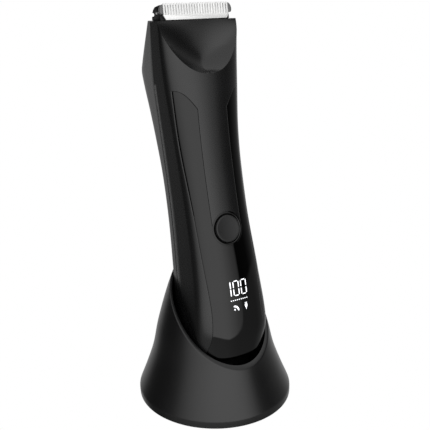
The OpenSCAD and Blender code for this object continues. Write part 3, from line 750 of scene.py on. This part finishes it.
def bar(u, v, length, width, turned):
    """Outline of one pointed bar of a digit, centred on (u, v)."""
    h, w = length / 2, width / 2
    t = w * 0.75
    pts = [(-w, -h + t), (0, -h), (w, -h + t), (w, h - t), (0, h), (-w, h - t)]
    return [(u + q, v + p) for p, q in pts] if turned else [(u + p, v + q) for p, q in pts]


def disc(u, v, r, n=20):
    turns = [2 * math.pi * k / n for k in range(n)]
    return [(u + r * math.cos(a), v + r * math.sin(a)) for a in turns]


DIGITS_S, ONE_X, ZEROS_X, ZERO_HALF = 32.5, -3.3, (-0.55, 3.35), 1.3
BARS_UP, CAPS_UP = 1.62, 3.12
DASH_N, DASH_X, DASH_S = 9, -3.6, 27.35


def display_outlines():
    """The digits 1, 0 and 0 in bars, and a row of dashes under them."""
    shapes = []
    for z in (-BARS_UP, BARS_UP):
        shapes.append(bar(ONE_X, DIGITS_S + z, 3.0, 0.5, False))
    for x in ZEROS_X:
        for dx in (-ZERO_HALF, ZERO_HALF):
            for z in (-BARS_UP, BARS_UP):
                shapes.append(bar(x + dx, DIGITS_S + z, 2.7, 0.46, False))
        for z in (-CAPS_UP, CAPS_UP):
            shapes.append(bar(x, DIGITS_S + z, 1.9, 0.42, True))
    for k in range(DASH_N):
        shapes.append(bar(DASH_X + k, DASH_S, 0.66, 0.42, True))
    return shapes


def mark_outlines():
    """Two plain marks under the digits: a drop on a curved stem, and a plug."""
    stem = [(-2.9, 24.6), (-2.5, 25.1), (-1.7, 25.0), (-0.9, 24.5), (-0.3, 23.6), (-0.2, 22.7),
            (-0.65, 22.6), (-0.9, 23.4), (-1.5, 24.1), (-2.2, 24.3)]
    plug = [(2.95, 24.6), (2.95, 23.8), (3.2, 23.2), (3.45, 23.0), (3.45, 22.3), (3.75, 22.3),
            (3.75, 23.0), (4.0, 23.2), (4.25, 23.8), (4.25, 24.6)]
    prongs = [bar(3.25, 25.1, 0.8, 0.3, False), bar(3.95, 25.1, 0.8, 0.3, False)]
    return [stem, disc(-2.3, 23.3, 0.38), plug, *prongs]


LIT_PROUD, LIT_DEPTH = 0.012, 0.2


def make_display():
    """Lit shapes let into the panel's face, each following its curve."""
    verts, faces = [], []
    depths = (PANEL_SINK - LIT_PROUD, PANEL_SINK + LIT_DEPTH)
    for outline in display_outlines() + mark_outlines():
        n, base = len(outline), len(verts)
        for d in depths:
            verts += [put(face_pt(x, s, d)) for x, s in outline]
        mid = [sum(p[k] for p in outline) / n for k in (0, 1)]
        verts += [put(face_pt(*mid, d)) for d in depths]
        top, bottom = base + 2 * n, base + 2 * n + 1
        for i in range(n):
            j = (i + 1) % n
            faces += [(base + i, base + j, top), (base + n + j, base + n + i, bottom),
                      (base + i, base + n + i, base + n + j, base + j)]
    obj = build("display_lights", verts, faces)
    settle(obj, "groomer", LIGHT, ["display_segments"])


# ---------------------------------------------------------------- dock

def dock_pt(u, z, d):
    r = smooth(DOCK_PROFILE, z) - d
    return (r * math.sin(u), DOCK_SHIFT * z - r * math.cos(u), z)


def lip_at(u, d):
    lo, hi = 10.0, 63.9
    for _ in range(24):
        m = (lo + hi) / 2
        if m < LIP_Z + LIP_SLOPE * dock_pt(u, m, d)[1]:
            lo = m
        else:
            hi = m
    return (lo + hi) / 2


# The rounds at the dock's foot and lip: (height, inset), and (depth below the lip, inset).
OUTER_FOOT = ((0, 0.3), (0.08, 0.12), (0.25, 0.03), (0.5, 0.0))
INNER_FOOT = ((0, -0.2), (0.25, 0.0))
LIP_ROUND, LIP_DEPTH = ((0.3, 0.0), (0.14, 0.03), (0.04, 0.1), (0.0, 0.2)), 0.5
DOCK_LOW = (1.8, 2.5, 3.0, 3.2, 3.4, 3.6, 3.8, 4.0, 4.3, 4.8)
DOCK_ROWS, DOCK_N, PLAIN_FROM = 40, 168, 18
SLOT_R, SLOT_HALF, SLOT_Y, SLOT_TURN = 2.15, 5.45, (25, 40), 12


def dock_column(u, d, inward):
    """Points up one line of the dock's wall, with a small round at the foot and at the lip."""
    pts = [dock_pt(u, DOCK_FOOT + z, d + e) for z, e in (INNER_FOOT if inward else OUTER_FOOT)]
    pts += [dock_pt(u, z, d) for z in DOCK_LOW]
    for i in range(1, DOCK_ROWS + 1):
        pts.append(dock_pt(u, lerp(DOCK_LOW[-1], lip_at(u, d) - LIP_DEPTH, i / DOCK_ROWS), d))
    for below, e in LIP_ROUND:
        e = d - e if inward else d + e
        pts.append(dock_pt(u, lip_at(u, e) - below, e))
    return pts


def stadium_tool(r, w, lo, hi):
    """A slot-shaped bar along Y round the charging inlet."""
    outline = []
    for side in (1, -1):
        for k in range(SLOT_TURN + 1):
            a = math.pi * k / SLOT_TURN - side * math.pi / 2
            outline.append((side * (w - r) + r * math.cos(a), SOCKET_Z + r * math.sin(a)))
    return prism("slot_tool", outline, lo, hi, lambda p: row((p[0], p[2], p[1])))


def make_dock():
    turns = [2 * math.pi * k / DOCK_N for k in range(DOCK_N)]
    outer = [dock_column(u, 0.0, False) for u in turns]
    inner = [dock_column(u, DOCK_WALL, True) for u in turns]
    size = min(len(outer[0]), len(inner[0]))
    outer, inner = [resample(c, size) for c in outer], [resample(c, size) for c in inner]
    obj = build("dock_body", *sheet(outer, inner, lambda i, j: True, row, ring=True))
    mark(obj.data, CUT_SHARP)
    cut(obj, stadium_tool(SLOT_R, SLOT_HALF, *SLOT_Y))
    settle(obj, "dock", DOCK_SATIN, ["dock_shell"], sharp=COVER_SHARP)


def resample(column, size):
    """Drops points from the plain middle of a column so that it has size of them."""
    spare = len(column) - size
    return column[:PLAIN_FROM] + column[PLAIN_FROM + spare:]


# ---------------------------------------------------------------- machined and moulded small parts

def refine(node, width, body, material, segments=2):
    """A copy of a CAD node with its edges broken, in its place."""
    obj = link(node + "_finished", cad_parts[node].data.copy())
    bm = bmesh.new()
    bm.from_mesh(obj.data)
    bmesh.ops.remove_doubles(bm, verts=bm.verts, dist=1e-7)
    bmesh.ops.dissolve_limit(bm, angle_limit=math.radians(1), verts=bm.verts, edges=bm.edges)
    bm.to_mesh(obj.data)
    bm.free()
    bevel(obj, width, segments)
    settle(obj, body, material, [node], sharp=40)


CORNER_RISE = 1.6


def comb_outline(w, foot, top, gum, chamfer, n):
    """Outline of a toothed plate, from its lower left corner round."""
    pitch, corner = 2 * w / n, foot + CORNER_RISE * chamfer
    tooth = [(0.36, gum), (0.27, top - 0.55), (0.19, top - 0.14), (0.07, top)]
    pts = [(-w, gum), (-w, corner), (-w + chamfer, foot), (w - chamfer, foot), (w, corner), (w, gum)]
    for k in range(n - 1, -1, -1):
        x = (k - (n - 1) / 2) * pitch
        pts += [(x + pitch * f, s) for f, s in tooth] + [(x - pitch * f, s) for f, s in reversed(tooth)]
    return pts


CONTACT_X, CONTACT_Y = 5, -2
COIL_LOW, COIL_HIGH, COIL_TURNS, COIL_R, WIRE_R = -9.05, -5.65, 5.5, 0.78, 0.12
COIL_STEPS, WIRE_SIDES, PIN_TRAVEL, COIL_CROWD = 132, 10, 1.2, 0.06


def coil_height(t):
    """Height along the coil at share t of its length: its end turns lie closer than the others."""
    return lerp(COIL_LOW, COIL_HIGH, t - COIL_CROWD * math.sin(2 * math.pi * t))


def make_spring(side, x):
    """The coil spring under a contact pin."""
    verts, faces = [], []
    for k in range(COIL_STEPS + 1):
        turn = 2 * math.pi * COIL_TURNS * k / COIL_STEPS
        height = coil_height(k / COIL_STEPS)
        for i in range(WIRE_SIDES):
            a = 2 * math.pi * i / WIRE_SIDES
            r = COIL_R + WIRE_R * math.cos(a)
            verts.append(put((x + r * math.cos(turn), CONTACT_Y + r * math.sin(turn),
                              height + WIRE_R * math.sin(a))))
    for k in range(COIL_STEPS):
        for i in range(WIRE_SIDES):
            a, b = k * WIRE_SIDES + i, k * WIRE_SIDES + (i + 1) % WIRE_SIDES
            faces.append((a, b, b + WIRE_SIDES, a + WIRE_SIDES))
    faces.append(tuple(range(WIRE_SIDES)))
    faces.append(tuple(COIL_STEPS * WIRE_SIDES + i for i in range(WIRE_SIDES)))
    coil = build("pogo_coil_" + side, verts, faces)
    settle(coil, "pogo_" + side, STEEL, ["pogo_spring_" + side])
    along = Vector(put((0, 0, 1))) - Vector(put((0, 0, 0)))
    put((x, CONTACT_Y, COIL_HIGH + WIRE_R))
    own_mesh(coil)


# The two toothed plates: half width, foot, tip and gum of the teeth, chamfer and number of teeth; and
# the front and back of each.
BLADE_FOOT = BODY_LEN - 0.1
COMB, COMB_Y = (15.9, BLADE_FOOT, 154.2, 149.4, 1.2, 25), (-7.6, -7.0)
MOVING, MOVING_Y = (13.4, BLADE_FOOT + 0.5, 154.2 - 0.6, 149.6, 0.6, 21), (-6.95, -6.45)


def make_blades():
    def place(p):
        return put((p[0], p[2], p[1]))

    comb = prism("comb_plate", comb_outline(*COMB), *COMB_Y, place)
    bevel(comb, 0.09)
    settle(comb, "cartridge", BLADE, ["comb_blade"])
    cutter = prism("cutter_plate", comb_outline(*MOVING), *MOVING_Y, place)
    bevel(cutter, 0.06)
    settle(cutter, "cutter", CUTTER, ["cutter_blade"])


def make_small_parts():
    refine("blade_bracket", 0.18, "cartridge", BRACKET, 3)
    refine("blade_guards", 0.3, "cartridge", GUARD, 3)
    refine("head_plate", 0.15, "groomer", INNER)
    refine("bottom_cap", 0.3, "groomer", INNER)
    refine("seat_cup", 0.3, "dock", SEAT)
    refine("base_plate", 0.3, "dock", INNER)
    refine("base_pad", 0.2, "dock", RUBBER)
    refine("drive_yoke", 0.2, "cutter", NYLON)
    refine("usb_socket", 0.12, "dock", STEEL)


NODE_LOOKS = {
    "button_seal": RUBBER, "display_module": MODULE, "main_board": PCB, "board_screws": STEEL,
    "tact_switch": MODULE, "switch_plunger": SEAL, "inner_chassis": CHASSIS, "battery": CELL,
    "battery_tabs": STEEL, "motor_can": STEEL, "motor_mount": CHASSIS, "motor_screws": STEEL,
    "shaft_seal": SEAL, "charging_contacts": GOLD, "motor_shaft": STEEL, "eccentric_cam": NYLON,
    "blade_screws": STEEL, "blade_spring": STEEL, "ballast_weight": IRON, "dock_board": PCB,
    "pogo_barrels": GOLD, "dock_screws": STEEL, "pogo_pin_left": GOLD, "pogo_pin_right": GOLD,
}


def dress_nodes():
    for node, material in NODE_LOOKS.items():
        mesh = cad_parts[node].data
        mesh.materials.clear()
        mesh.materials.append(material)


# ---------------------------------------------------------------- stage

CAMERA_AT = Vector((-0.1661, -0.2659, 0.1900))
CAMERA_TO = Vector((0, 0, 0.085634))
LENS, SENSOR, CLIP = 63, 36, (0.01, 20)
FLOOR_N, FLOOR_R, FLOOR_Z = 64, 14.0, -0.0001

# The studio's brightness by compass direction, in degrees from -Y towards +X: above the horizon,
# below it, and the elevation at which one turns into the other.
SKY = [(-180, 0.46), (-168, 0.38), (-158, 0.1), (-148, 0.04), (-128, 0.03), (-110, 0.04), (-92, 0.14),
       (-78, 0.68), (-62, 1.06), (-50, 1.2), (-34, 1.36), (-20, 1.42), (4, 1.42), (14, 1.3), (24, 0.95),
       (33.4, 0.5), (34.6, 0.02), (56, 0.03), (64, 0.07), (76, 0.14), (95, 0.25), (112, 0.48), (130, 1.5),
       (147, 1.6), (153, 1.1), (164, 0.5), (180, 0.42)]
GROUND = [(-180, 0.5), (-166, 0.4), (-156, 0.12), (-148, 0.06), (-128, 0.06), (-110, 0.1), (-90, 0.3),
          (-60, 0.4), (0, 0.36), (30, 0.24), (60, 0.17), (90, 0.25), (115, 0.5), (135, 0.7), (150, 0.7),
          (180, 0.5)]
HORIZON = [(-180, -6), (-90, -10), (-60, -14), (-10, -16), (12, -16.5), (22, -13.5), (30, -10),
           (33.4, -8), (34.6, -1.5), (62, -2), (90, -6), (180, -6)]
LEVELS, ELEVATIONS = (0, 2), (-20, 0)
HORIZON_SOFT, TOP_GLOW, TOP_FROM, TOP_FULL = 1.2, 0.9, 36, 56


def studio_world():
    """Soft studio light painted by direction alone; a camera ray that misses everything sees white."""
    world = bpy.data.worlds.new("studio")
    bpy.context.scene.world = world
    world.use_nodes = True
    nt = world.node_tree
    nt.nodes.clear()
    new, join = nt.nodes.new, nt.links.new

    def math_node(op, a, b=None, c=None):
        n = new("ShaderNodeMath")
        n.operation = op
        for k, v in enumerate((a, b, c)):
            if v is None:
                continue
            if isinstance(v, (int, float)):
                n.inputs[k].default_value = v
            else:
                join(v, n.inputs[k])
        return n.outputs[0]

    coord = new("ShaderNodeTexCoord")
    parts = new("ShaderNodeSeparateXYZ")
    join(coord.outputs["Generated"], parts.inputs[0])
    turn = math_node("ARCTAN2", parts.outputs["X"], math_node("MULTIPLY", parts.outputs["Y"], -1.0))
    around = math_node("MULTIPLY_ADD", turn, 1 / (2 * math.pi), 0.5)
    height = math_node("MULTIPLY", math_node("ARCSINE", parts.outputs["Z"]), 180 / math.pi)

    def curve(table, lo, hi):
        ramp = new("ShaderNodeValToRGB")
        points = ramp.color_ramp.elements
        for k, (azimuth, v) in enumerate(table):
            e = points[k] if k < 2 else points.new((azimuth + 180) / 360)
            e.position = (azimuth + 180) / 360
            level = (v - lo) / (hi - lo)
            e.color = (level, level, level, 1)
        join(around, ramp.inputs["Fac"])
        return math_node("MULTIPLY_ADD", ramp.outputs["Color"], hi - lo, lo)

    def blend(f, a, b):
        return math_node("MULTIPLY_ADD", math_node("SUBTRACT", b, a), f, a)

    def step(v, lo, hi):
        m = new("ShaderNodeMapRange")
        m.interpolation_type = "SMOOTHSTEP"
        join(v, m.inputs["Value"])
        m.inputs["From Min"].default_value, m.inputs["From Max"].default_value = lo, hi
        return m.outputs["Result"]

    over_horizon = math_node("SUBTRACT", height, curve(HORIZON, *ELEVATIONS))
    above = step(over_horizon, -HORIZON_SOFT, HORIZON_SOFT)
    level = blend(above, curve(GROUND, *LEVELS), curve(SKY, *LEVELS))
    level = blend(step(height, TOP_FROM, TOP_FULL), level, TOP_GLOW)
    seen = new("ShaderNodeLightPath")
    level = blend(seen.outputs["Is Camera Ray"], level, 1.0)
    light = new("ShaderNodeBackground")
    light.inputs["Color"].default_value = (1, 1, 1, 1)
    join(level, light.inputs["Strength"])
    out = new("ShaderNodeOutputWorld")
    join(light.outputs[0], out.inputs["Surface"])


def make_floor():
    """A white floor that neither lights the object nor takes its shadow."""
    turns = [2 * math.pi * k / FLOOR_N for k in range(FLOOR_N)]
    verts = [(FLOOR_R * math.cos(a), FLOOR_R * math.sin(a), FLOOR_Z) for a in turns]
    floor = build("floor", verts, [tuple(range(FLOOR_N))])
    mat = bpy.data.materials.new("pale_floor")
    mat.use_nodes = True
    nt = mat.node_tree
    nt.nodes.clear()
    glow = nt.nodes.new("ShaderNodeEmission")
    glow.inputs["Strength"].default_value = 1.0
    out = nt.nodes.new("ShaderNodeOutputMaterial")
    nt.links.new(glow.outputs[0], out.inputs["Surface"])
    floor.data.materials.append(mat)
    floor.visible_glossy = floor.visible_diffuse = floor.visible_shadow = False


def make_camera():
    data = bpy.data.cameras.new("camera")
    data.lens, data.sensor_width = LENS, SENSOR
    data.clip_start, data.clip_end = CLIP
    cam = bpy.data.objects.new("camera", data)
    bpy.context.scene.collection.objects.link(cam)
    cam.location = CAMERA_AT
    cam.rotation_euler = (CAMERA_TO - CAMERA_AT).to_track_quat("-Z", "Y").to_euler()
    bpy.context.scene.camera = cam


def make_stage():
    scene = bpy.context.scene
    scene.view_settings.view_transform = "Standard"
    scene.view_settings.look = "None"
    studio_world()
    make_floor()
    make_camera()


make_front_cover()
make_panel()
make_rear_cover()
make_button()
make_display()
make_dock()
make_blades()
make_small_parts()
make_spring("left", -CONTACT_X)
make_spring("right", CONTACT_X)
dress_nodes()
make_stage()
